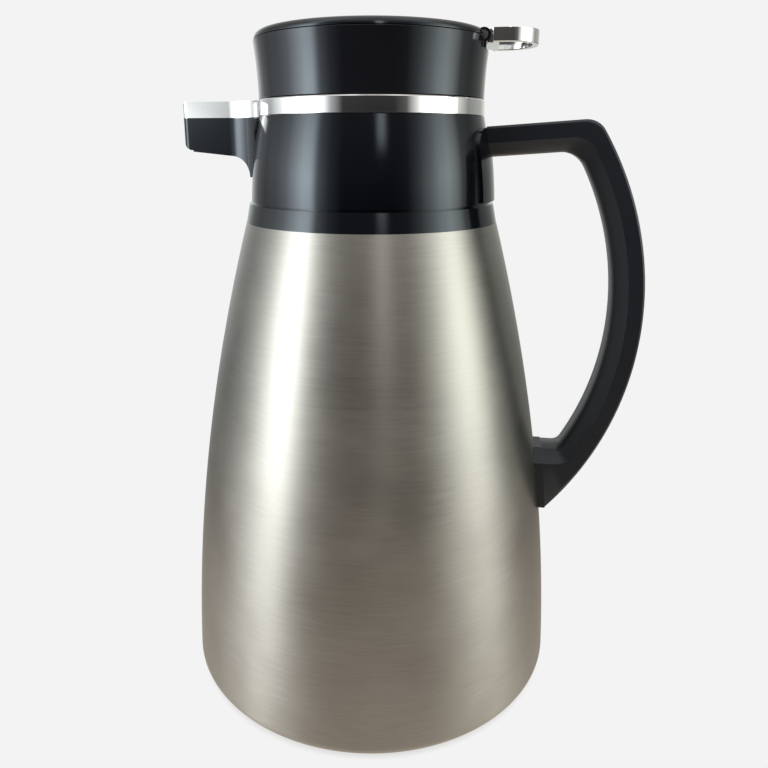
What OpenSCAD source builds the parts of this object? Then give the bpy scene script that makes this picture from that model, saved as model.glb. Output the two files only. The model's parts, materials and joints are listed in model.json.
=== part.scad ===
// Thermal carafe with flip lid. Base at z = 0, spout along -X, handle along +X.
// The lid is a push-in stopper. Pressing the thumb ring tilts the cover and lifts the pour valve.

/* [Body] */
// Diameter of the steel body at its foot
body_d = 154.6; // [120:0.2:200]
// Diameter of the steel body where the collar starts
shoulder_d = 98.6; // [92:0.2:120]
// Height of the foot of the side curve
foot_z = 4.6; // [3:0.1:8]
// Height of the shoulder under the collar
shoulder_z = 188; // [150:1:260]
// Radius of the long curve of the body side
body_arc_r = 780; // [400:10:2000]
// Radius of the lower edge of the body
foot_edge_r = 4; // [2:0.1:8]
// Steel thickness of the outer shell
shell_wall = 1; // [0.6:0.1:2]
// Steel thickness of the inner liner
liner_wall = 0.8; // [0.5:0.1:1.5]
// Vacuum space between the two walls
vacuum_gap = 6.5; // [4:0.1:12]
// Height of the liner floor
liner_floor_z = 12; // [10:0.5:20]
// Radius of the corner of the liner floor
liner_corner_r = 10; // [5:0.5:20]
// Width of the base lip, from the body side to the pad
lip_w = 15.3; // [10:0.1:30]
// Thickness of the base plate
plate_h = 1.2; // [0.8:0.1:2]
// How far the base plate laps over the base lip
plate_lap = 6; // [3:0.5:10]
// Radius of the vacuum seal plug
seal_plug_r = 3; // [2:0.5:5]
// Distance of the getter cup from the axis
getter_x = 25; // [15:1:40]
// Radius of the getter cup
getter_r = 8; // [5:0.5:12]
// Height of the getter cup
getter_h = 3; // [2:0.5:5]

/* [Neck] */
// Inside diameter of the liner neck
neck_d = 77.2; // [74:0.2:82]
// Height of the straight part of the neck
neck_len = 12; // [8:0.5:20]
// Length of the slope from the liner side to its neck
liner_slope = 8; // [5:0.5:15]
// Height of the band welded round the neck
band_h = 4; // [2:0.5:6]
// Thickness of the neck gasket
neck_gasket_h = 1; // [0.5:0.1:2]
// Thickness of the band welded round the neck
band_t = 1.2; // [0.8:0.1:2]
// Depth of the start of the liner neck below the shoulder
liner_drop = 10; // [6:0.5:16]

/* [Collar] */
// Diameter above the groove
collar_low_d = 94.2; // [88:0.2:100]
// Diameter under the chrome band
collar_top_d = 86.6; // [84:0.2:95]
// Height of the collar above the shoulder
collar_h = 39; // [30:0.5:60]
// Radius of the long curve of the collar side
collar_arc_r = 200; // [100:10:600]
// Height of the skirt below the groove
skirt_h = 7; // [4:0.5:12]
// Depth and height of the groove
groove = 0.8; // [0.4:0.1:1.5]
// Clear bore of the collar and trim
bore_d = 78; // [76:0.2:84]
// How far the handle pad stands out
pad_raise = 1.3; // [0.8:0.1:2.5]
// Half width of the handle pad
pad_half = 19.5; // [12:0.5:30]
// Radius of the upper corners of the handle pad
pad_corner = 8; // [2:0.5:12]
// Bottom of the handle pad above the shoulder
pad_low = 8.4; // [8:0.1:15]
// Top of the handle pad above the shoulder
pad_high = 35; // [28:0.5:37]

/* [Spout] */
// Distance of the spout tip from the axis
spout_reach = 73.7; // [62:0.1:90]
// Width of the spout
spout_w = 18; // [14:0.5:26]
// Radius of the flare at the spout root
flare_r = 17; // [10:0.5:24]
// Height of the black spout side below the trim
spout_h = 12.2; // [9:0.1:20]
// Radius under the spout root
root_r = 8; // [4:0.5:12]
// Radius of the lower corner of the tip
tip_r = 4; // [1:0.5:6]
// Wall thickness of the spout
spout_wall = 2.2; // [1.5:0.1:4]
// Height of the chrome band
trim_h = 6; // [4:0.1:10]
// How far the spout underside drops towards the root
spout_drop = 2.1; // [0.5:0.1:5]
// Distance of the spout root from the axis
root_x = 46.2; // [42:0.1:46.6]
// Rounding of the spout tip
tip_round = 2.4; // [1:0.1:4]
// Roof thickness over the spout
roof_t = 2.6; // [1.5:0.1:4]
// Edge bevel of the chrome band
trim_bevel = 0.4; // [0.2:0.1:1]

/* [Handle] */
// How far the toe of the handle stands out from the body
toe_out = 2.05; // [1:0.05:6]
// Centre of the grip curve in height
grip_z = 155; // [120:1:180]
// Outer radius of the grip
grip_r = 126.7; // [110:0.1:150]
// Depth of the outer handle half
outer_t = 6; // [4:0.1:10]
// Depth of the inner handle half
inner_t = 5; // [3:0.1:8]
// Width of the handle back
grip_w = 21; // [16:0.5:30]
// Width of the handle on the finger side
finger_w = 11; // [8:0.5:20]
// Height of the arm top at the collar
arm_z = 223.4; // [215:0.1:226]
// Slope of the arm in degrees
arm_slope = 4; // [0:0.5:10]
// Radius of the outer corner
corner_r = 8; // [3:0.5:12]
// Radius of the inner corner
inner_corner_r = 10; // [3:0.5:14]
// Height of the top of the lower mount
mount_z = 96.3; // [85:0.1:110]
// Height where the lower end of the handle stops
toe_z = 71.5; // [60:0.5:80]
// Thickness of the foot plate behind the lower mount
plate_t = 3; // [2:0.1:5]
// Radius of the lower inside corner
low_r = 4; // [2:0.5:8]
// Edge bevel of the handle
handle_bevel = 0.8; // [0.3:0.1:2]
// How far the arm starts outside the top of the collar
arm_stand = 0.7; // [0.5:0.1:1]
// How far the steel tongue goes into the collar
tongue_in = 2.5; // [1.5:0.1:3.5]
// How far the steel tongue goes into the arm
tongue_out = 28; // [20:1:34]
// Width of the steel tongue
tongue_w = 8; // [6:0.5:9]
// Thickness of the steel tongue
tongue_t = 2.8; // [2:0.1:3.4]
// Plastic over the steel tongue
tongue_top = 2; // [1.2:0.1:2.5]
// Radius of the handle screws
screw_r = 2; // [1.5:0.1:2.5]
// Radius of the screw heads
screw_head_r = 3.6; // [3:0.1:4.4]
// Height of the screw heads
head_h = 2.4; // [1.6:0.1:3.2]
// How deep the upper screw head lies in the arm
head_sink = 0.6; // [0.3:0.1:1.5]
// Thickness of the cap over the lower screw
cap_h = 1.2; // [0.8:0.1:2]
// Radius of the welded stud behind the lower mount
stud_r = 3.2; // [2.8:0.1:4.5]
// How far the lower screw lies below the middle of the mount
screw_drop = 2; // [0:0.5:4]
// Distance of the lower screw head from the foot plate
head_stand = 3.4; // [2:0.1:5]

/* [Lid] */
// Diameter of the lid above the chrome band
lid_low_d = 85.8; // [84:0.2:90]
// Largest diameter of the lid
lid_top_d = 88.8; // [86:0.2:94]
// Height of the lid cup
lid_h = 20.7; // [14:0.1:30]
// Radius of the hollow curve of the lid side
lid_arc_r = 160; // [80:5:400]
// Wall of the lid cup
lid_wall = 2.6; // [1.5:0.1:4]
// Floor of the lid cup
lid_floor = 2.6; // [1.5:0.1:4]
// Gap between fixed and moving faces
gap = 0.3; // [0.2:0.05:0.6]
// Thickness of the flip cover
cover_t = 2.7; // [2:0.1:5]
// Distance of the hinge inside the largest diameter of the lid
hinge_in = 2.4; // [1.5:0.1:5]
// Radius of the hinge pin
hinge_r = 1.5; // [1:0.1:2]
// Radial play of a pin in its hole
play = 0.05; // [0.02:0.01:0.1]
// Length of the thumb ring beyond the hinge
thumb_len = 19.8; // [16:0.1:35]
// Width of the thumb ring
thumb_w = 28; // [22:0.5:40]
// Wall of the thumb ring
thumb_wall = 2.4; // [2:0.1:4]
// Height of the thumb ring
thumb_h = 4.9; // [3.5:0.1:7]
// Radius of the corners of the thumb ring
thumb_corner = 12.5; // [4:0.5:13.5]
// Height of the hinge axis above the underside of the cover
hinge_rise = 0.1; // [0:0.1:1]
// Thickness of the hinge ears
ear_t = 3.2; // [2.5:0.1:5]
// Radius of the hinge ears
ear_r = 2.5; // [2.2:0.1:3]
// How much narrower the hinge hub is than the thumb ring
hub_in = 8; // [6:0.5:10]
// Depth of the lid notch under the hub
notch_drop = 1.7; // [1:0.1:4]
// Depth of the lid notch behind the hinge ears
notch_back = 2; // [1:0.5:4]
// Height of the spigot under the lid
spigot_h = 5; // [4:0.5:6]
// Radius of the lid seal ring
ring_r = 1.9; // [1.2:0.1:2.4]
// How far the edge of the cover lies inside the edge of the lid
cover_inset = 0.3; // [0:0.1:1]
// Length of the hub under the cover, from the hinge axis
hub_len = 13.5; // [12:0.5:16]
// Distance of the cover screws from the hinge axis
cover_screw_in = 9; // [7:0.5:11]
// Distance of the cover screws from the side of the hinge hub
cover_screw_edge = 3.5; // [3:0.1:5]
// Radius of the cover screws
cover_screw_r = 1.2; // [0.8:0.1:1.5]
// Radius of the heads of the cover screws
cover_head_r = 2.3; // [1.8:0.1:2.8]
// Height of the heads of the cover screws
cover_head_h = 1.4; // [1:0.1:2]

/* [Stopper and valve] */
// Outer diameter of the stopper tube
stopper_d = 67.2; // [60:0.2:70]
// Wall of the stopper tube
stopper_wall = 2.2; // [1.5:0.1:3]
// Length of the stopper below the top of the trim
stopper_len = 47; // [40:0.5:60]
// Diameter of the port in the stopper floor
port_d = 22; // [16:0.5:30]
// Width of a pour window
window_w = 14; // [8:0.5:18]
// Height of a pour window
window_h = 14; // [8:0.5:18]
// Radius of the valve stem
stem_r = 3; // [2:0.1:4]
// Radius of the valve disc
disc_r = 14.5; // [13:0.5:18]
// Radius of the return spring
coil_r = 6.5; // [5.5:0.1:9]
// Radius of the spring wire
wire_r = 0.6; // [0.4:0.05:0.9]
// Number of spring curls
curls = 7; // [5:1:10]
// Height of the link pin below the hinge
link_drop = 5.7; // [4:0.1:8]
// Radius of the link pin
link_r = 1.5; // [1:0.1:2]
// Thickness of the stopper floor
seat_t = 2.4; // [1.6:0.1:4]
// Height of the stopper gasket
gasket_h = 4.2; // [3:0.2:6]
// How far the gasket rims stand out from the tube
lip_out = 2.6; // [1.5:0.1:3]
// Depth of the pour windows below the top of the collar
window_drop = 17; // [16:0.5:20]
// Angle between the pour windows
window_step = 30; // [28:1:40]
// Radius of the air vent
vent_r = 2.5; // [1.5:0.5:4]
// Radius of the stem guide
guide_r = 7.6; // [6:0.1:9]
// Width of the flange of the stem guide
flange_w = 2; // [1:0.5:4]
// Thickness of the flange of the stem guide
flange_t = 1.5; // [1:0.1:2.5]
// How far the stem guide hangs below the lid
guide_drop = 2; // [1:0.5:4]
// Half distance between the cheeks of the lever arm
cheek_in = 3.4; // [3.3:0.1:4.5]
// Thickness of a cheek of the lever arm
cheek_t = 1.8; // [1.2:0.1:3]
// How far the cheeks reach past the valve axis
cheek_x = 5; // [4:0.5:7]
// How far the cheeks reach below the link pin
cheek_drop = 3.2; // [2.8:0.1:4]
// Half length of the link slot
slot_x = 2.6; // [2:0.1:3.5]
// Gap between the lever arm and the hinge hub
arm_gap = 0.5; // [0.3:0.1:1]
// Thickness of the valve seal
seal_t = 1.5; // [1:0.1:2.5]
// Thickness of the valve disc
disc_t = 2; // [1.5:0.1:3]

/* [Hidden] */
$fn = 96;
fine = 256;
over = 1;

// Centre of the circle of radius r through two points, on the side the sign picks
function arc_centre(a, b, r, side) =
    let (d = b - a, l = norm(d), m = (a + b) / 2, h = sqrt(r * r - l * l / 4))
    [m[0] - side * d[1] / l * h, m[1] + side * d[0] / l * h];
// Points on a circle
function arc(c, r, a0, a1, n) = [for (i = [0:n]) let (a = a0 + (a1 - a0) * i / n) c + r * [cos(a), sin(a)]];
function body_r(z) = body_c[0] + sqrt(body_arc_r * body_arc_r - (z - body_c[1]) * (z - body_c[1]));

body_c = arc_centre([body_d / 2, foot_z], [shoulder_d / 2, shoulder_z], body_arc_r, 1);
base_z = foot_z - foot_edge_r;
lip_d = body_d - 2 * lip_w;
neck_top = shoulder_z + neck_len;
liner_neck_z = shoulder_z - liner_drop;
neck_r = neck_d / 2;
neck_out = neck_r + liner_wall;
shell_neck = neck_out + shell_wall;
collar_top = shoulder_z + collar_h;
groove_z = shoulder_z + skirt_h;
collar_c = arc_centre([collar_low_d / 2, groove_z + groove], [collar_top_d / 2, collar_top], collar_arc_r, 1);
bore_r = bore_d / 2;
deck_z = neck_top + liner_wall;
trim_top = collar_top + trim_h;
spout_under = collar_top - spout_h;
flare_y = spout_w / 2 + flare_r;
flare_d = collar_top_d / 2 + flare_r;
flare_x = sqrt(flare_d * flare_d - flare_y * flare_y);
flare_end = flare_y * collar_top_d / 2 / flare_d;

arm_x = collar_top_d / 2 + arm_stand;
grip_x = body_r(toe_z) + toe_out - sqrt(grip_r * grip_r - (toe_z - grip_z) * (toe_z - grip_z));
corner_steps = 8;
grip_steps = 36;
low_steps = 6;
screw_z = (mount_z + toe_z) / 2 - screw_drop;
cut_over = 8;
cut_play = 0.01;
screw_start = body_r(screw_z - screw_r) + play;
stud_x = foot_x(screw_z + stud_r) - cut_play;
head_x = foot_x(screw_z) + head_stand;

hinge_x = lid_top_d / 2 - hinge_in;
thumb_x = hinge_x + thumb_len;
lid_z = trim_top + gap;
lid_rim = lid_z + lid_h;
lid_c = arc_centre([lid_low_d / 2, lid_z], [lid_top_d / 2, lid_rim], lid_arc_r, -1);
cover_z = lid_rim + gap;
hinge_z = cover_z + hinge_rise;
tongue_z = hinge_z - thumb_h / 2;
hub_w = thumb_w - hub_in;
cover_screw_y = hub_w / 2 - cover_screw_edge;
notch_w = hub_w + 2 * gap;
notch_z = tongue_z - notch_drop;
ear_out = notch_w / 2 + ear_t;

spigot_r = neck_r - gap - ring_r;
seal_mid = lid_z - spigot_h / 2;
cover_screw_x = hinge_x - cover_screw_in;
tongue_x = hinge_x - hub_len;
cup_r = min(lid_low_d, lid_top_d) / 2 - lid_wall;
notch_x = min(hinge_x - ear_r - notch_back, sqrt(cup_r * cup_r - notch_w * notch_w / 4));
stopper_r = stopper_d / 2;
window_z = collar_top - window_drop;
arm_end = tongue_x - arm_gap;
stopper_z = trim_top + gap - stopper_len;
seat_z = stopper_z + seat_t;
seal_z = seat_z + gap;
disc_z = seal_z + seal_t;
guide_z = lid_z - guide_drop;
link_z = hinge_z - link_drop;
spring_low = disc_z + disc_t + wire_r + play;
spring_high = guide_z - wire_r - play;

outer_shell();
inner_liner();
base_plate();
getter();
vacuum_seal();
base_pad();
neck_band();
neck_gasket();
collar();
spout_trim();
handle_outer();
handle_inner();
handle_foot();
lower_stud();
upper_tongue();
upper_screw();
lower_screw();
screw_cap();
lid_body();
stopper_body();
stopper_gasket();
lid_seal();
stem_guide();
hinge_pin();
flip_cover();
thumb_ring();
lever_arm();
cover_screws();
valve_stem();
valve_disc();
valve_seal();
valve_spring();
link_pin();

// Steel skin of the body

module body_area(inset)
{
    intersection() {
        translate(body_c) circle(r = body_arc_r - inset, $fn = fine);
        translate([0, foot_z]) square([body_d, shoulder_z - foot_z - inset]);
    }
}

module foot_area()
{
    intersection() {
        translate([body_d / 2 - foot_edge_r, foot_z]) circle(r = foot_edge_r);
        translate([0, base_z]) square([body_d, foot_edge_r]);
    }
    translate([0, base_z]) square([body_d / 2 - foot_edge_r, foot_edge_r]);
}

// The body side by the lower handle mount, a hair larger than the shell
module body_cut()
{
    z0 = toe_z - cut_over;
    z1 = mount_z + cut_over;
    steps = 12;
    rotate_extrude($fn = fine) polygon(concat([[0, z0]],
        [for (i = [0:steps]) let (z = z0 + (z1 - z0) * i / steps) [body_r(z) + cut_play, z]], [[0, z1]]));
}

module outer_shell()
{
    color("silver") rotate_extrude() difference() {
        union() {
            body_area(0);
            foot_area();
            translate([0, shoulder_z - shell_wall]) square([shell_neck, neck_len + shell_wall]);
        }
        body_area(shell_wall);
        polygon([[0, base_z + shell_wall], [body_d / 2 - foot_edge_r, base_z + shell_wall],
            [body_r(foot_z + over) - shell_wall - play, foot_z + over], [0, foot_z + over]]);
        square([lip_d / 2, foot_z]);
        translate([0, foot_z]) square([neck_out, shoulder_z + neck_len]);
    }
}

// Points of one face of the liner, from the floor to the neck
function liner_points(t) =
    let (z1 = liner_floor_z + liner_corner_r, z2 = liner_neck_z - liner_slope, in = shell_wall + vacuum_gap,
        steps = 24)
    concat([[0, liner_floor_z + t]],
        arc([body_r(z1) - in - liner_corner_r, z1], liner_corner_r - t, -90, 0, 8),
        [for (i = [1:steps]) let (z = z1 + (z2 - z1) * i / steps) [body_r(z) - in - t, z]],
        [[neck_out - t, liner_neck_z], [neck_out - t, deck_z]]);

module inner_liner()
{
    a = liner_points(0);
    b = liner_points(liner_wall);
    color("gainsboro") rotate_extrude() {
        polygon(concat(a, [for (i = [len(b) - 1:-1:0]) b[i]]));
        translate([neck_r, neck_top]) square([shell_neck - neck_r, liner_wall]);
    }
}

module base_plate()
{
    color("silver") difference() {
        translate([0, 0, base_z + shell_wall]) cylinder(r = lip_d / 2 + plate_lap, h = plate_h);
        translate([0, 0, base_z]) cylinder(r = seal_plug_r, h = 2 * plate_h + shell_wall);
    }
}

module getter()
{
    color("dimgray") translate([getter_x, 0, base_z + shell_wall + plate_h]) difference() {
        cylinder(r = getter_r, h = getter_h);
        translate([0, 0, getter_h / 3]) cylinder(r = getter_r - liner_wall, h = getter_h);
    }
}

module vacuum_seal()
    color("dimgray") translate([0, 0, base_z + shell_wall])
        cylinder(r = seal_plug_r, h = plate_h + shell_wall);

module base_pad()
    color("black") cylinder(r = lip_d / 2 - play, h = base_z + shell_wall);

module neck_band()
{
    color("silver") translate([0, 0, shoulder_z + band_h]) difference() {
        cylinder(r = shell_neck + band_t, h = band_h);
        translate([0, 0, -over]) cylinder(r = shell_neck, h = band_h + 2 * over);
    }
}

module neck_gasket()
{
    color("dimgray") translate([0, 0, deck_z]) difference() {
        cylinder(r = shell_neck, h = neck_gasket_h);
        translate([0, 0, -over]) cylinder(r = bore_r, h = neck_gasket_h + 2 * over);
    }
}

// Collar, spout and trim

module collar_area(out)
{
    intersection() {
        translate(collar_c) circle(r = collar_arc_r + out, $fn = fine);
        translate([0, groove_z + groove]) square([body_d, collar_top - groove_z - groove]);
    }
}

// Plan of the spout, drawn smaller by the inset for the pour channel
module spout_plan(inset)
{
    w = spout_w / 2 - inset;
    flare_half = min(flare_end, flare_y - 4 * inset);
    inner_x = bore_r * 3 / 4;
    tip = inset > 0 ? -spout_reach - over : -spout_reach + tip_round;
    difference() {
        translate([-flare_x, -flare_half]) square([flare_x - inner_x, 2 * flare_half]);
        for (s = [-1, 1]) translate([-flare_x, s * flare_y]) circle(r = flare_r + inset);
    }
    translate([tip, -w]) square([-inner_x - tip, 2 * w]);
    if (inset == 0) {
        for (s = [-1, 1]) translate([tip, s * (w - tip_round)]) circle(r = tip_round);
        translate([-spout_reach, tip_round - w]) square([2 * tip_round, 2 * (w - tip_round)]);
    }
}

// Side view of the black spout in X and Z
module spout_side()
{
    fillet_x = -root_x - root_r;
    fillet_z = spout_under - spout_drop;
    inner_x = -bore_r * 3 / 4;
    difference() {
        union() {
            polygon([[-spout_reach - over, spout_under], [fillet_x, fillet_z], [inner_x, fillet_z],
                [inner_x, collar_top], [-spout_reach - over, collar_top]]);
            translate([fillet_x, fillet_z - root_r]) square([inner_x - fillet_x, root_r]);
        }
        translate([fillet_x, fillet_z - root_r]) circle(r = root_r);
        difference() {
            translate([-spout_reach - over, spout_under - over]) square([tip_r + over, tip_r + over]);
            translate([tip_r - spout_reach, spout_under + tip_r]) circle(r = tip_r);
        }
    }
}

module pour_channel()
{
    translate([0, 0, spout_under + spout_wall]) linear_extrude(trim_top - roof_t - spout_under - spout_wall)
        spout_plan(spout_wall);
}

module pad_face()
{
    intersection() {
        rotate_extrude() collar_area(pad_raise);
        translate([collar_top_d / 4, 0, 0]) rotate([90, 0, 90]) linear_extrude(body_d / 2) {
            w = pad_half;
            low = shoulder_z + pad_low;
            high = shoulder_z + pad_high;
            translate([-w, low]) square([2 * w, high - low - pad_corner]);
            translate([pad_corner - w, low]) square([2 * (w - pad_corner), high - low]);
            for (s = [-1, 1]) translate([s * (w - pad_corner), high - pad_corner]) circle(r = pad_corner);
        }
    }
}

module collar()
{
    color("#15161a") difference() {
        union() {
            rotate_extrude() {
                collar_area(0);
                translate([0, groove_z]) square([collar_low_d / 2 - groove, groove]);
                polygon([[0, shoulder_z], [shoulder_d / 2, shoulder_z],
                    [collar_low_d / 2 + groove, groove_z], [0, groove_z]]);
            }
            intersection() {
                translate([0, 0, shoulder_z]) linear_extrude(collar_h) spout_plan(0);
                rotate([90, 0, 0]) translate([0, 0, -body_d / 2]) linear_extrude(body_d) spout_side();
            }
            pad_face();
        }
        translate([0, 0, shoulder_z]) cylinder(r = bore_r, h = collar_h + over);
        translate([0, 0, shoulder_z - over])
            cylinder(r = shell_neck, h = over + neck_len + liner_wall + neck_gasket_h);
        translate([0, 0, shoulder_z - over]) cylinder(r = shell_neck + band_t, h = over + 2 * band_h);
        pour_channel();
        tongue_shape();
    }
}

module spout_trim()
{
    r = collar_top_d / 2;
    color("white") difference() {
        union() {
            translate([0, 0, collar_top]) rotate_extrude()
                polygon([[0, 0], [r - trim_bevel, 0], [r, trim_bevel], [r, trim_h - trim_bevel],
                    [r - trim_bevel, trim_h], [0, trim_h]]);
            intersection() {
                translate([0, 0, collar_top]) linear_extrude(trim_h) spout_plan(0);
                rotate([90, 0, 0]) translate([0, 0, -body_d / 2]) linear_extrude(body_d) {
                    translate([-spout_reach, collar_top]) square([spout_reach, trim_h - tip_round]);
                    translate([tip_round - spout_reach, collar_top]) square([spout_reach, trim_h]);
                    translate([tip_round - spout_reach, trim_top - tip_round]) circle(r = tip_round);
                }
            }
        }
        translate([0, 0, collar_top - over]) cylinder(r = bore_r, h = trim_h + 2 * over);
        pour_channel();
    }
}

// Handle

grip_c = [grip_x, grip_z];
arm_u = [cos(arm_slope), sin(arm_slope)];
arm_n = [-sin(arm_slope), cos(arm_slope)];

// Centre of the corner between the arm line, k below the arm top, and the grip circle of radius r
function corner_c(k, r, rc) =
    let (p = [arm_x, arm_z] - (k + rc) * arm_n, w = p - grip_c,
        t = -(w * arm_u) + sqrt((r - rc) * (r - rc) - (w * arm_n) * (w * arm_n)))
    p + t * arm_u;
function grip_point(a, r) = grip_c + r * [cos(a), sin(a)];
function angle_at(c) = atan2(c[1] - grip_z, c[0] - grip_x);
// Arm line and upper corner
function upper_points(k, r, rc) =
    let (c = corner_c(k, r, rc))
    concat([[arm_x, arm_z] - k * arm_n], arc(c, rc, 90 + arm_slope, angle_at(c), corner_steps));
// Centre of the lower corner, where the grip turns in to the mount at height z
function low_c(r, rc, z) =
    let (d = z + rc - grip_z)
    [grip_x + sqrt((r - rc) * (r - rc) - d * d), z + rc];
// Whole finger side line: arm, corner, grip, corner and mount
function finger_points(k, r, rc, low_r, z) =
    let (a0 = angle_at(corner_c(k, r, rc)), lc = low_c(r, low_r, z), a1 = angle_at(lc))
    concat(upper_points(k, r, rc),
        [for (i = [1:grip_steps]) grip_point(a0 + (a1 - a0) * i / grip_steps, r)],
        [for (i = [1:low_steps]) let (a = a1 + (-90 - a1) * i / low_steps) lc + low_r * [cos(a), sin(a)]],
        [[foot_x(z), z]]);
// Back line of the handle, with as many points as the finger side line
function back_points() =
    let (a0 = angle_at(corner_c(0, grip_r, corner_r)), a1 = angle_at(low_c(crease_r, crease_low, crease_z)),
        a2 = asin((toe_z - grip_z) / grip_r), n = low_steps + 1)
    concat(upper_points(0, grip_r, corner_r),
        [for (i = [1:grip_steps]) grip_point(a0 + (a1 - a0) * i / grip_steps, grip_r)],
        [for (i = [1:n]) grip_point(a1 + (a2 - a1) * i / n, grip_r)]);
// The face of the foot plate, a straight line from the mount top to the toe
function foot_x(z) =
    let (d = toe_z - grip_z, xa = body_r(mount_z) + plate_t, xb = grip_x + sqrt(grip_r * grip_r - d * d))
    xb + (xa - xb) * (z - toe_z) / (mount_z - toe_z);

crease_r = grip_r - outer_t;
finger_r = crease_r - inner_t;
crease_z = mount_z - inner_t;
crease_low = low_r + inner_t;
crease_line = finger_points(outer_t, crease_r, (corner_r + inner_corner_r) / 2, crease_low, crease_z);
back_line = back_points();
finger_line = finger_points(outer_t + inner_t, finger_r, inner_corner_r, low_r, mount_z);

// A bar between two lines of points, wide at the first and bevelled at the second
module bar(wide, thin, w0, w1, depth)
{
    n = len(wide);
    b = handle_bevel;
    f = b / depth;
    rows = [for (i = [0:n - 1]) let (p = wide[i], q = thin[i], m = q + (p - q) * f, wm = w1 + (w0 - w1) * f)
        [[p[0], -w0, p[1]], [m[0], -wm, m[1]], [q[0], b - w1, q[1]], [q[0], w1 - b, q[1]], [m[0], wm, m[1]],
            [p[0], w0, p[1]]]];
    points = [for (row = rows) each row];
    sides = [for (i = [0:n - 2], j = [0:5]) let (a = i * 6 + j, c = i * 6 + (j + 1) % 6)
        each [[a, c, c + 6], [a, c + 6, a + 6]]];
    ends = [[5, 4, 3, 2, 1, 0], [for (j = [0:5]) (n - 1) * 6 + j]];
    polyhedron(points = points, faces = concat(sides, ends));
}

module arm_frame() translate([arm_x, 0, arm_z]) rotate([0, -arm_slope, 0]) children();

module tongue_shape()
    arm_frame() translate([-tongue_in, -tongue_w / 2, -tongue_top - tongue_t])
        cube([tongue_in + tongue_out, tongue_w, tongue_t]);

module upper_screw_shape()
{
    shank = outer_t + inner_t - tongue_top - head_sink;
    arm_frame() translate([tongue_out - 2 * screw_head_r, 0, head_sink - outer_t - inner_t]) {
        cylinder(r = screw_head_r, h = head_h);
        cylinder(r = screw_r, h = shank);
    }
}

module collar_block() rotate_extrude() collar_area(pad_raise);

module handle_outer()
{
    color("#1b1c1f") difference() {
        bar(crease_line, back_line, grip_w / 2, grip_w / 2, outer_t);
        collar_block();
        tongue_shape();
        upper_screw_shape();
        translate([0, 0, screw_z]) rotate([0, 90, 0]) {
            cylinder(r = screw_r, h = head_x + over);
            translate([0, 0, head_x]) cylinder(r = screw_head_r, h = body_d / 2);
        }
    }
}

module handle_inner()
{
    color("#1b1c1f") difference() {
        bar(crease_line, finger_line, grip_w / 2, finger_w / 2, inner_t);
        collar_block();
        upper_screw_shape();
        arm_frame() translate([tongue_out - 2 * screw_head_r, 0, -outer_t - inner_t - over])
            cylinder(r = screw_head_r, h = over + head_sink);
    }
}

module handle_foot()
{
    color("#1b1c1f") difference() {
        intersection() {
            rotate([90, 0, 0]) translate([0, 0, -grip_w / 2]) linear_extrude(grip_w)
                polygon([[body_r(mount_z) - 2 * plate_t, mount_z], [foot_x(mount_z), mount_z],
                    [foot_x(toe_z), toe_z], [body_r(toe_z) - 2 * plate_t, toe_z]]);
            rotate([90, 0, 90]) linear_extrude(body_d)
                polygon([[-grip_w / 2, toe_z - over], [grip_w / 2, toe_z - over], [grip_w / 2, crease_z],
                    [finger_w / 2, mount_z], [-finger_w / 2, mount_z], [-grip_w / 2, crease_z]]);
        }
        body_cut();
        translate([0, 0, screw_z]) rotate([0, 90, 0]) cylinder(r = stud_r, h = body_d);
    }
}

module lower_stud()
{
    color("silver") difference() {
        translate([0, 0, screw_z]) rotate([0, 90, 0]) cylinder(r = stud_r, h = stud_x);
        body_cut();
        translate([0, 0, screw_z]) rotate([0, 90, 0]) cylinder(r = screw_r, h = body_d);
    }
}

module upper_tongue()
{
    color("silver") difference() {
        tongue_shape();
        upper_screw_shape();
    }
}

module upper_screw() color("silver") upper_screw_shape();

module lower_screw()
{
    color("silver") translate([0, 0, screw_z]) rotate([0, 90, 0]) {
        translate([0, 0, screw_start]) cylinder(r = screw_r, h = head_x - screw_start);
        translate([0, 0, head_x]) cylinder(r = screw_head_r, h = head_h);
    }
}

module screw_cap()
    color("#1b1c1f") translate([head_x + head_h, 0, screw_z]) rotate([0, 90, 0])
        cylinder(r = screw_head_r, h = cap_h);

// Lid cup and stopper

module y_cylinder(x, z, r, w)
    translate([x, w / 2, z]) rotate([90, 0, 0]) cylinder(r = r, h = w);

module x_box(x0, x1, w, z0, z1)
    translate([x0, -w / 2, z0]) cube([x1 - x0, w, z1 - z0]);

module lid_body()
{
    color("#15161a") difference() {
        union() {
            difference() {
                rotate_extrude() {
                    difference() {
                        translate([0, lid_z]) square([bore_d, lid_h]);
                        translate(lid_c) circle(r = lid_arc_r, $fn = fine);
                    }
                    translate([0, lid_z - spigot_h]) square([spigot_r, spigot_h]);
                }
                translate([0, 0, lid_z + lid_floor]) cylinder(r = cup_r, h = lid_h);
                translate([0, 0, lid_z - spigot_h - over]) cylinder(r = stopper_r, h = spigot_h + over);
                x_box(notch_x, bore_d, notch_w, notch_z, cover_z + cover_t);
            }
            for (s = [-1, 1]) translate([0, s * (notch_w + ear_t) / 2, 0]) {
                y_cylinder(hinge_x, hinge_z, ear_r, ear_t);
                x_box(hinge_x - ear_r, hinge_x + over, ear_t, notch_z, hinge_z);
            }
        }
        y_cylinder(hinge_x, hinge_z, hinge_r, 2 * ear_out);
        translate([0, 0, lid_z - over]) cylinder(r = guide_r, h = lid_floor + 2 * over);
        rotate_extrude() translate([spigot_r, seal_mid]) circle(r = ring_r);
    }
}

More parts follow.
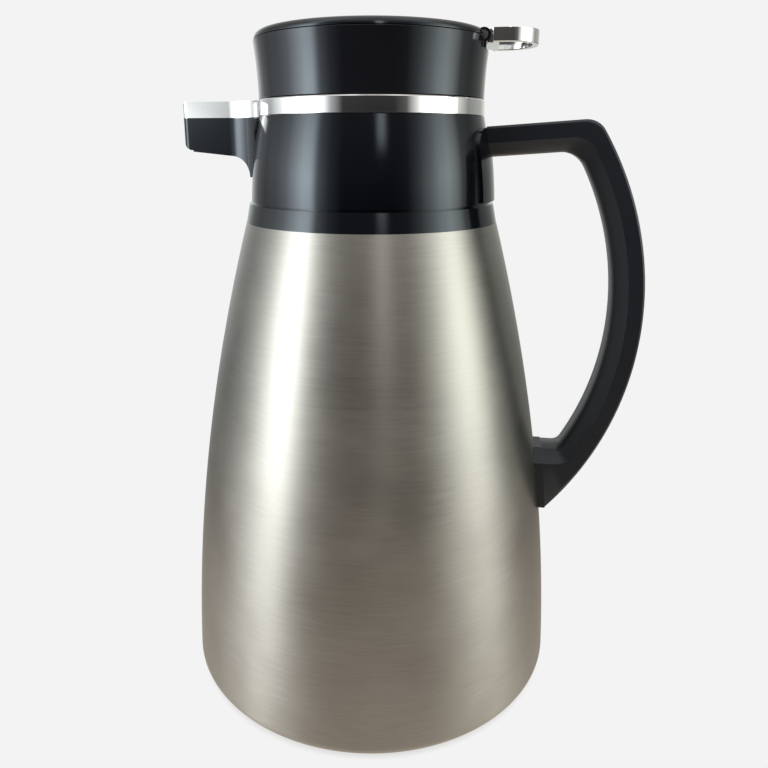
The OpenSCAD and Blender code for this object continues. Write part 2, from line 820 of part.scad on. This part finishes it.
module stopper_body()
{
    color("#2a2c30") difference() {
        union() {
            translate([0, 0, stopper_z]) cylinder(r = stopper_r, h = lid_z - stopper_z);
            translate([0, 0, stopper_z]) cylinder(r = stopper_r + lip_out, h = over);
            translate([0, 0, stopper_z + over + gasket_h]) cylinder(r = stopper_r + lip_out, h = over);
        }
        translate([0, 0, seat_z]) cylinder(r = stopper_r - stopper_wall, h = stopper_len);
        translate([0, 0, stopper_z - over]) cylinder(r = port_d / 2, h = stopper_len);
        for (a = [-1, 0, 1]) rotate([0, 0, a * window_step])
            translate([-stopper_r - over, -window_w / 2, window_z]) cube([stopper_r / 2, window_w, window_h]);
        translate([0, 0, window_z + window_h / 2]) rotate([0, 90, 0])
            cylinder(r = vent_r, h = stopper_r + over);
    }
}

module stopper_gasket()
{
    lip = neck_r - gap;
    r = stopper_r + lip_out;
    z = stopper_z + over;
    color("#8c8f94") rotate_extrude()
        polygon([[stopper_r, z], [r, z], [lip, z + gasket_h / 4], [r, z + gasket_h / 2],
            [lip, z + gasket_h * 3 / 4], [r, z + gasket_h], [stopper_r, z + gasket_h]]);
}

module lid_seal() color("#8c8f94") rotate_extrude() translate([spigot_r, seal_mid]) circle(r = ring_r);

module stem_guide()
{
    top = lid_z + lid_floor;
    color("#2a2c30") difference() {
        union() {
            translate([0, 0, guide_z]) cylinder(r = guide_r, h = top - guide_z);
            translate([0, 0, top]) cylinder(r = guide_r + flange_w, h = flange_t);
        }
        translate([0, 0, guide_z - over]) cylinder(r = stem_r + play, h = stopper_len);
    }
}

module hinge_pin() color("silver") y_cylinder(hinge_x, hinge_z, hinge_r, 2 * ear_out + 2 * play);

// Flip cover, thumb ring and lever arm

module cover_screw_shape()
    for (s = [-1, 1]) translate([cover_screw_x, s * cover_screw_y, 0]) {
        translate([0, 0, tongue_z - cover_head_h]) cylinder(r = cover_head_r, h = cover_head_h);
        translate([0, 0, tongue_z]) cylinder(r = cover_screw_r, h = cover_z - tongue_z + cover_t / 2);
    }

module flip_cover()
{
    r = lid_top_d / 2 - cover_inset;
    color("#15161a") difference() {
        translate([0, 0, cover_z]) rotate_extrude() {
            translate([r - cover_t, 0]) intersection() {
                circle(r = cover_t);
                square(cover_t);
            }
            square([r - cover_t, cover_t]);
        }
        x_box(hinge_x - ear_r - 2 * gap, body_d, 2 * (ear_out + gap),
            cover_z - over, cover_z + cover_t + over);
        cover_screw_shape();
    }
}

module ring_plan(inset)
{
    x0 = hinge_x + ear_r + 2 * gap + inset;
    x1 = thumb_x - inset;
    w = thumb_w / 2 - inset;
    c = thumb_corner - inset;
    intersection() {
        translate([x0, -w]) square([x1 - x0, 2 * w]);
        union() {
            translate([x0, -w]) square([max(x1 - c - x0, over), 2 * w]);
            translate([x0, c - w]) square([x1 - x0, 2 * (w - c)]);
            for (s = [-1, 1]) translate([x1 - c, s * (w - c)]) circle(r = c);
        }
    }
}

module thumb_ring()
{
    color("white") difference() {
        union() {
            translate([0, 0, tongue_z]) linear_extrude(thumb_h) ring_plan(0);
            y_cylinder(hinge_x, hinge_z, thumb_h / 2, hub_w);
            x_box(hinge_x, hinge_x + ear_r + 2 * gap + over, hub_w, tongue_z, tongue_z + thumb_h);
            x_box(tongue_x, hinge_x, hub_w, tongue_z, cover_z);
            x_box(hinge_x - ear_r - gap, hinge_x, hub_w, tongue_z, tongue_z + thumb_h);
        }
        translate([0, 0, tongue_z - over]) linear_extrude(thumb_h + 2 * over) ring_plan(thumb_wall);
        y_cylinder(hinge_x, hinge_z, hinge_r + play, thumb_w);
        cover_screw_shape();
    }
}

module lever_arm()
{
    color("#2a2c30") difference() {
        union() {
            for (s = [-1, 1]) translate([0, s * (cheek_in + cheek_t / 2), 0])
                x_box(-cheek_x, arm_end, cheek_t, link_z - cheek_drop, cover_z);
            x_box(stem_r + 2 * cover_t, arm_end, 2 * (cheek_in + cheek_t), cover_z - cover_t, cover_z);
        }
        x_box(-slot_x, slot_x, bore_d, link_z - link_r - gap, link_z + link_r + gap);
    }
}

module cover_screws() color("silver") cover_screw_shape();

// Valve

module valve_stem()
{
    color("silver") difference() {
        translate([0, 0, seal_z]) cylinder(r = stem_r, h = link_z + stem_r - seal_z);
        y_cylinder(0, link_z, link_r, bore_d);
    }
}

module valve_disc()
{
    color("#2a2c30") difference() {
        union() {
            translate([0, 0, disc_z]) cylinder(r = disc_r, h = disc_t);
            translate([0, 0, disc_z]) cylinder(r = coil_r - 2 * wire_r, h = 2 * disc_t);
        }
        translate([0, 0, disc_z - over]) cylinder(r = stem_r, h = stopper_len);
    }
}

module valve_seal()
{
    color("#8c8f94") translate([0, 0, seal_z]) difference() {
        cylinder(r = disc_r, h = seal_t);
        translate([0, 0, -over]) cylinder(r = stem_r, h = seal_t + 2 * over);
    }
}

// Round wire wound on a helix, eight rings of six points to each curl
module valve_spring()
{
    rings = 8;
    sides = 6;
    n = curls * rings;
    points = [for (i = [0:n], j = [0:sides - 1]) let (a = 360 * i / rings, b = 360 * j / sides,
        r = coil_r + wire_r * cos(b)) [r * cos(a), r * sin(a),
        spring_low + (spring_high - spring_low) * i / n + wire_r * sin(b)]];
    walls = [for (i = [0:n - 1], j = [0:sides - 1]) let (a = i * sides + j, c = i * sides + (j + 1) % sides)
        each [[a, c, c + sides], [a, c + sides, a + sides]]];
    ends = [[for (j = [0:sides - 1]) sides - 1 - j], [for (j = [0:sides - 1]) n * sides + j]];
    color("silver") polyhedron(points = points, faces = concat(walls, ends));
}

module link_pin() color("silver") y_cylinder(0, link_z, link_r, 2 * (cheek_in + cheek_t));
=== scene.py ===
import json
import math

import bmesh
import bpy
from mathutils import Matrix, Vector


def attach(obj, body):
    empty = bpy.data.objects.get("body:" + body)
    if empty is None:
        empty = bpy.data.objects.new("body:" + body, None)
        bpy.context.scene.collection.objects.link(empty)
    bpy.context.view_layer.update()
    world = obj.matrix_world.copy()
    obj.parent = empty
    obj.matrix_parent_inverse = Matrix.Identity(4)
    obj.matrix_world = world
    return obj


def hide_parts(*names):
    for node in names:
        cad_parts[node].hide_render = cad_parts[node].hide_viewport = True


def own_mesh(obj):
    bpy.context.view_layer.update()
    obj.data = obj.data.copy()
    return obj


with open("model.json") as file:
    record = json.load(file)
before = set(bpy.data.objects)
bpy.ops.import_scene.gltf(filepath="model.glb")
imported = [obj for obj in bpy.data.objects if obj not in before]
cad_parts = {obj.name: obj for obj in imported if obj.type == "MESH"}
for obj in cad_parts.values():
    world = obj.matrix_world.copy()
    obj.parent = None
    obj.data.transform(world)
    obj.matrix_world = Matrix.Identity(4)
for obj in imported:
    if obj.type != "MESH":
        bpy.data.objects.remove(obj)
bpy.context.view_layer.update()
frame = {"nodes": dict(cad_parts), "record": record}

# Units: metres, or mm in the outline of the steel skin, and degrees where a name says so
MM = 0.001

# Brightness of the soft boxes and of the narrow strip between them
GLOW = 9.0
STRIP = 3.0

# Spout: distance from the axis where its sides start, and how far their normals lean to the tip
SPOUT_START = 0.047
SPOUT_LEAN = 0.09

# Page colour, and the floor's colour in the contact shadow, which fades out over SHADOW_REACH
PAGE = (0.896, 0.896, 0.896, 1.0)
SHADOW = (0.62, 0.61, 0.60, 1.0)
SHADOW_REACH = 0.03
FLOOR_SIZE = 6
FLOOR_Z = -0.0002

# Camera: turn round the axis and tilt in degrees, distance, height, lens in mm and shift
CAMERA_TURN = 9.0
CAMERA_TILT = 15
CAMERA_DISTANCE = 0.285
CAMERA_HEIGHT = 0.2176
CAMERA_LENS = 33.0
CAMERA_SHIFT = (0.0163, -0.0682)

# Steel skin in mm: side curve from the foot to the shoulder, wall, neck, and the edge underneath
FOOT = (77.3, 4.6)
SHOULDER = (49.3, 188.0)
SIDE_ARC = 780.0
WALL = 1.0
NECK_OUT = 40.4
NECK_IN = 39.4
NECK_TOP = 200.0
FOOT_ARC = 4
INNER_START = 187.0
INNER_END = 6.0
BASE_R = 62.0
BASE_Z = 0.6
BASE_TOP = 1.6

scene = bpy.context.scene
nodes = frame["nodes"]
body_of_node = {n: b for b, ns in frame["record"]["behaviour"]["bodies"].items() for n in ns}
slot_of_node = {s["node"]: s["material_slot"] for s in frame["record"]["subparts"]}


# ---- shader helpers

class Tree:
    """A node tree with short ways to add and join nodes."""

    def __init__(self, tree):
        self.t = tree
        tree.nodes.clear()

    def add(self, kind, **values):
        n = self.t.nodes.new(kind)
        for k, v in values.items():
            setattr(n, k, v)
        return n

    def join(self, a, b):
        self.t.links.new(a, b)

    def value(self, op, a, b=None, c=None, clamp=False):
        n = self.add("ShaderNodeMath", operation=op, use_clamp=clamp)
        for i, x in enumerate((a, b, c)):
            if x is None:
                continue
            if isinstance(x, (int, float)):
                n.inputs[i].default_value = x
            else:
                self.join(x, n.inputs[i])
        return n.outputs[0]

    def ramp(self, fac, stops):
        n = self.add("ShaderNodeValToRGB")
        el = n.color_ramp.elements
        while len(el) < len(stops):
            el.new(0.5)
        for e, (p, c) in zip(el, stops):
            e.position = p
            e.color = (c, c, c, 1) if isinstance(c, (int, float)) else (*c, 1)
        self.join(fac, n.inputs[0])
        return n.outputs[0]

    def scaled(self, sx, sy, sz):
        tc = self.add("ShaderNodeTexCoord")
        m = self.add("ShaderNodeMapping")
        m.inputs["Scale"].default_value = (sx, sy, sz)
        self.join(tc.outputs["Object"], m.inputs["Vector"])
        return m.outputs[0]

    def noise(self, vector, scale, detail=3.0):
        n = self.add("ShaderNodeTexNoise")
        n.inputs["Scale"].default_value = scale
        n.inputs["Detail"].default_value = detail
        n.inputs["Roughness"].default_value = 0.55
        self.join(vector, n.inputs["Vector"])
        return n.outputs["Fac"]


def material(name, base, rough, metallic=0.0, grain=900.0, rough_var=0.05, bump=0.02, stretch=(1, 1, 1),
             shade_var=0.08, crown=False, **sockets):
    """A finish with a fine grain, small changes in roughness, and larger soft changes in shade."""
    m = bpy.data.materials.new(name)
    m.use_nodes = True
    t = Tree(m.node_tree)
    out = t.add("ShaderNodeOutputMaterial")
    p = t.add("ShaderNodeBsdfPrincipled")
    t.join(p.outputs[0], out.inputs[0])
    p.inputs["Metallic"].default_value = metallic
    for k, v in sockets.items():
        p.inputs[k.replace("_", " ")].default_value = v
    fine = t.noise(t.scaled(*stretch), grain)
    wide = t.noise(t.scaled(1, 1, 1), 35.0, 2.0)
    r = t.value("MULTIPLY_ADD", fine, rough_var, rough - rough_var / 2)
    r = t.value("MULTIPLY_ADD", wide, rough_var, t.value("SUBTRACT", r, rough_var / 2), clamp=True)
    t.join(r, p.inputs["Roughness"])
    mix = t.add("ShaderNodeMix", data_type="RGBA", blend_type="MULTIPLY")
    mix.inputs["Factor"].default_value = 1.0
    mix.inputs["A"].default_value = (*base, 1)
    shade = t.ramp(t.value("MULTIPLY_ADD", fine, 0.5, t.value("MULTIPLY", wide, 0.5)),
                   [(0.3, 1 - shade_var), (0.7, 1.0)])
    t.join(shade, mix.inputs["B"])
    t.join(mix.outputs["Result"], p.inputs["Base Color"])
    if bump:
        b = t.add("ShaderNodeBump")
        b.inputs["Strength"].default_value = bump
        b.inputs["Distance"].default_value = 0.0002
        t.join(fine, b.inputs["Height"])
        t.join(b.outputs[0], p.inputs["Normal"])
        if crown:
            t.join(crowned_normal(t), b.inputs["Normal"])
    return m, t, p


def crowned_normal(t):
    """The sides of the spout shade as if they bulged a little and narrowed towards the tip."""
    geo = t.add("ShaderNodeNewGeometry")
    place = t.add("ShaderNodeSeparateXYZ")
    t.join(geo.outputs["Position"], place.inputs[0])
    on_spout = t.value("GREATER_THAN", t.value("MULTIPLY", place.outputs[0], -1.0), SPOUT_START)
    lean = t.add("ShaderNodeCombineXYZ")
    t.join(t.value("MULTIPLY", on_spout, -SPOUT_LEAN), lean.inputs[0])
    both = t.add("ShaderNodeVectorMath", operation="ADD")
    t.join(geo.outputs["Normal"], both.inputs[0])
    t.join(lean.outputs[0], both.inputs[1])
    unit = t.add("ShaderNodeVectorMath", operation="NORMALIZE")
    t.join(both.outputs[0], unit.inputs[0])
    return unit.outputs[0]


def brushed_round(name, base, rough, grain_z, drawn=0.8, **more):
    """Steel brushed round the axis: fine level lines, and highlights drawn out up and down."""
    m, t, p = material(name, base, rough, metallic=1.0, grain=1.0, stretch=(75, 75, grain_z), rough_var=0.10,
                       bump=0.05, shade_var=0.24, Anisotropic=drawn, Anisotropic_Rotation=0.25, **more)
    tan = t.add("ShaderNodeTangent", direction_type="RADIAL", axis="Z")
    t.join(tan.outputs[0], p.inputs["Tangent"])
    return m


M = {}
M["body_steel"] = brushed_round("body_steel", (0.40, 0.389, 0.362), 0.40, 2300, drawn=0.7)
M["liner_steel"] = brushed_round("liner_steel", (0.66, 0.66, 0.66), 0.30, 3000)
M["small_steel"] = material("small_steel", (0.62, 0.62, 0.63), 0.22, metallic=1.0, grain=2500)[0]
M["pad_rubber"] = material("pad_rubber", (0.03, 0.03, 0.03), 0.75, grain=1800, bump=0.15, shade_var=0.25)[0]
M["silicone"] = material("silicone", (0.42, 0.43, 0.45), 0.5, grain=1500, bump=0.05, Subsurface_Weight=0.1)[0]
M["black_gloss"] = material("black_gloss", (0.0026, 0.003, 0.005), 0.11, grain=700, rough_var=0.03,
                            bump=0.004, crown=True, IOR=1.5, Specular_Tint=(0.80, 0.90, 1.0, 1))[0]
# Lighter copy of the black gloss for the lid: painted light, a brighter base standing in for the light the
# lid catches
M["black_gloss_lit_lid"] = material("black_gloss_lit_lid", (0.0075, 0.0078, 0.0105), 0.12, grain=700, rough_var=0.03, bump=0.004,
                          IOR=1.5, Specular_Tint=(0.80, 0.90, 1.0, 1))[0]
M["black_satin"] = material("black_satin", (0.011, 0.012, 0.016), 0.33, grain=2600, rough_var=0.08, bump=0.05,
                            Specular_Tint=(0.80, 0.90, 1.0, 1))[0]
M["dark_plastic"] = material("dark_plastic", (0.03, 0.031, 0.035), 0.42, grain=2200, bump=0.05)[0]
M["chrome_trim"] = material("chrome_trim", (0.90, 0.90, 0.91), 0.07, metallic=1.0, grain=1500, rough_var=0.03,
                            bump=0.004, shade_var=0.04, crown=True)[0]


# The lid body takes the lighter copy of the black gloss, which is painted light
FINISH = {"lid_body": "black_gloss_lit_lid"}


# ---- pieces

def smooth(obj, degrees=28):
    obj.data.shade_smooth()
    obj.data.set_sharp_from_angle(angle=math.radians(degrees))


def welded(node, bevel=0.0):
    """A copy of a CAD piece with its split edges joined, so that it shades and bevels as one skin."""
    src = nodes[node]
    mesh = src.data.copy()
    mesh.name = node + "_skin"
    b = bmesh.new()
    b.from_mesh(mesh)
    bmesh.ops.remove_doubles(b, verts=b.verts, dist=2e-6)
    bmesh.ops.dissolve_degenerate(b, edges=b.edges, dist=1e-6)
    b.to_mesh(mesh)
    b.free()
    mesh.materials.clear()
    o = bpy.data.objects.new(node + "_skin", mesh)
    scene.collection.objects.link(o)
    if "custom_normal" in mesh.attributes:
        mesh.attributes.remove(mesh.attributes["custom_normal"])
    smooth(o)
    if bevel:
        mod = o.modifiers.new("edge", "BEVEL")
        mod.width = bevel
        mod.segments = 3
        mod.limit_method = "ANGLE"
        mod.angle_limit = math.radians(35)
        mod.harden_normals = True
    place(o, node)
    return o


def place(o, *names):
    """The piece stands for these CAD nodes, in the finish of the first."""
    s = slot_of_node[names[0]]
    o.data.materials.append(M[FINISH.get(names[0], s)])
    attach(o, body_of_node[names[0]])
    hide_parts(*names)


def arc_centre(a, b, r):
    d = b - a
    m = (a + b) / 2
    h = math.sqrt(r * r - d.length_squared / 4)
    return Vector((m.x - d.y / d.length * h, m.y + d.x / d.length * h))


def spin(name, profile, segments=320):
    """A closed outline in radius and height, in mm, turned round the axis."""
    mesh = bpy.data.meshes.new(name)
    n = len(profile)
    turns = [2 * math.pi * i / segments for i in range(segments)]
    points = [(r * MM * math.cos(a), r * MM * math.sin(a), z * MM) for a in turns for r, z in profile]
    faces = []
    for i in range(segments):
        k = (i + 1) % segments
        faces += [(i * n + j, k * n + j, k * n + (j + 1) % n, i * n + (j + 1) % n) for j in range(n)]
    mesh.from_pydata(points, [], faces)
    mesh.validate()
    o = bpy.data.objects.new(name, mesh)
    scene.collection.objects.link(o)
    return o


def shell_outline():
    """The steel skin: long side curve, lower edge, lip, and the inside of the wall up to the neck."""
    c = arc_centre(Vector(FOOT), Vector(SHOULDER), SIDE_ARC)
    low = FOOT[1]
    rise = SHOULDER[1] - low

    def side(z, r):
        return c.x + math.sqrt(r * r - (z - c.y) ** 2)

    pts = [(NECK_IN, NECK_TOP), (NECK_IN, INNER_START)]
    inner = [INNER_START - (INNER_START - INNER_END) * i / 60 for i in range(61)]
    pts += [(side(z, SIDE_ARC - WALL), z) for z in inner]
    pts += [(74.0, 2.4), (72.0, BASE_TOP), (BASE_R, BASE_TOP), (BASE_R, BASE_Z)]
    for t in range(0, 90, 6):
        a = math.radians(t)
        pts.append((FOOT[0] - FOOT_ARC + FOOT_ARC * math.sin(a), low - FOOT_ARC * math.cos(a)))
    pts += [(side(z, SIDE_ARC), z) for z in [low + rise * i / 90 for i in range(91)]]
    pts += [(NECK_OUT, SHOULDER[1]), (NECK_OUT, NECK_TOP)]
    return pts


shell = spin("steel_body", shell_outline())
smooth(shell, 30)
place(shell, "outer_shell")
for node, bevel in (("collar", 0.00025), ("spout_trim", 0.0004), ("handle_outer", 0.0),
                    ("handle_inner", 0.0), ("handle_foot", 0.0), ("lid_body", 0.0002),
                    ("flip_cover", 0.0), ("thumb_ring", 0.0003)):
    welded(node, bevel)
spring = welded("valve_spring")
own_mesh(spring)
for name, o in nodes.items():
    if o.hide_render:
        continue
    o.data.materials.clear()
    o.data.materials.append(M[slot_of_node[name]])
    smooth(o)


# ---- studio

def studio_world():
    """White page for camera and transmission rays. Others see two tall soft boxes by a dark front."""
    w = bpy.data.worlds.new("studio")
    scene.world = w
    w.use_nodes = True
    t = Tree(w.node_tree)
    out = t.add("ShaderNodeOutputWorld")
    tc = t.add("ShaderNodeTexCoord")
    sep = t.add("ShaderNodeSeparateXYZ")
    t.join(tc.outputs["Generated"], sep.inputs[0])
    x, y, z = sep.outputs
    az = t.value("ARCTAN2", x, t.value("MULTIPLY", y, -1.0))
    turn = t.value("SUBTRACT", az, math.radians(CAMERA_TURN))
    fac = t.value("FRACT", t.value("MULTIPLY_ADD", turn, 1 / (2 * math.pi), 0.5))

    def at(deg):
        return deg / 360 + 0.5

    level = [(-180, .10), (-152, .12), (-135, .06), (-118, .05), (-99, .12), (-86, .26), (-75, .62),
             (-66, 1.0), (-58, 1.0), (-51, .20), (-40, .05), (-28, .0015), (0, .0005), (22, .0005),
             (34, .009), (45, .10), (57, .30), (66, .52), (76, .60), (86, .34), (94, .08), (110, .03),
             (140, .05), (160, .10), (180, .10)]
    bands = t.ramp(fac, [(at(d), v) for d, v in level])
    up = t.value("ARCSINE", z)
    rise = t.value("MULTIPLY_ADD", up, 1 / math.pi, 0.5)
    high = t.ramp(rise, [(at_el(-75), .01), (at_el(-45), .01), (at_el(-22), .10), (at_el(-7), .66),
                         (at_el(6), 1.0), (at_el(22), .55), (at_el(40), .16), (at_el(80), .10)])
    strip = t.ramp(fac, [(at(3), 0.0), (at(8), 1.0), (at(11), 1.0), (at(16), 0.0)])
    strip_high = t.ramp(rise, [(at_el(14), .0), (at_el(20), 1.0), (at_el(38), 1.0), (at_el(50), 0.0)])
    line = t.value("MULTIPLY", t.value("MULTIPLY", strip, strip_high), STRIP)
    glow = t.value("MULTIPLY_ADD", t.value("MULTIPLY", bands, high), GLOW, line)
    room = t.ramp(rise, [(at_el(-70), (.90, .78, .66)), (at_el(-32), (.72, .61, .51)),
                         (at_el(-18), (.012, .011, .011)), (at_el(0), (.012, .011, .011)),
                         (at_el(25), (.15, .145, .14)), (at_el(60), (1.1, 1.05, 1.0))])
    tint = t.ramp(fac, [(at(-20), (0.96, 1.0, 1.0)), (at(20), (0.97, 1.0, 0.93))])
    cool = t.add("ShaderNodeMix", data_type="RGBA", blend_type="MULTIPLY")
    cool.inputs["Factor"].default_value = 1.0
    t.join(glow, cool.inputs["A"])
    t.join(tint, cool.inputs["B"])
    total = t.add("ShaderNodeMix", data_type="RGBA", blend_type="ADD")
    total.inputs["Factor"].default_value = 1.0
    t.join(cool.outputs["Result"], total.inputs["A"])
    t.join(room, total.inputs["B"])
    light = t.add("ShaderNodeBackground")
    t.join(total.outputs["Result"], light.inputs["Color"])
    page = t.add("ShaderNodeBackground")
    page.inputs["Color"].default_value = PAGE
    path = t.add("ShaderNodeLightPath")
    mix = t.add("ShaderNodeMixShader")
    seen = t.value("ADD", path.outputs["Is Camera Ray"], path.outputs["Is Transmission Ray"], clamp=True)
    t.join(seen, mix.inputs[0])
    t.join(light.outputs[0], mix.inputs[1])
    t.join(page.outputs[0], mix.inputs[2])
    t.join(mix.outputs[0], out.inputs[0])


def at_el(deg):
    return deg / 180 + 0.5


def page_floor():
    """A pale floor with a faint contact shadow, which is not mirrored in the steel."""
    bpy.ops.mesh.primitive_plane_add(size=FLOOR_SIZE, location=(0, 0, FLOOR_Z))
    o = bpy.context.object
    o.name = "floor"
    m = bpy.data.materials.new("floor")
    m.use_nodes = True
    t = Tree(m.node_tree)
    out = t.add("ShaderNodeOutputMaterial")
    e = t.add("ShaderNodeEmission")
    near = t.add("ShaderNodeAmbientOcclusion", samples=16)
    near.inputs["Distance"].default_value = SHADOW_REACH
    soft = t.add("ShaderNodeMix", data_type="RGBA")
    t.join(t.ramp(near.outputs["AO"], [(0.0, 0.0), (0.5, 1.0)]), soft.inputs["Factor"])
    soft.inputs["A"].default_value = SHADOW
    soft.inputs["B"].default_value = PAGE
    t.join(soft.outputs["Result"], e.inputs[0])
    t.join(e.outputs[0], out.inputs[0])
    o.data.materials.append(m)
    o.visible_glossy = False
    o.visible_diffuse = False
    o.visible_shadow = False


studio_world()
page_floor()

cam_data = bpy.data.cameras.new("camera")
cam = bpy.data.objects.new("camera", cam_data)
scene.collection.objects.link(cam)
turn = math.radians(CAMERA_TURN)
cam.location = (CAMERA_DISTANCE * math.sin(turn), -CAMERA_DISTANCE * math.cos(turn), CAMERA_HEIGHT)
cam.rotation_euler = (math.radians(90 - CAMERA_TILT), 0, turn)
cam_data.lens = CAMERA_LENS
cam_data.sensor_width = 36.0
cam_data.shift_x, cam_data.shift_y = CAMERA_SHIFT
cam_data.clip_start = 0.01
scene.camera = cam
scene.view_settings.view_transform = "Standard"
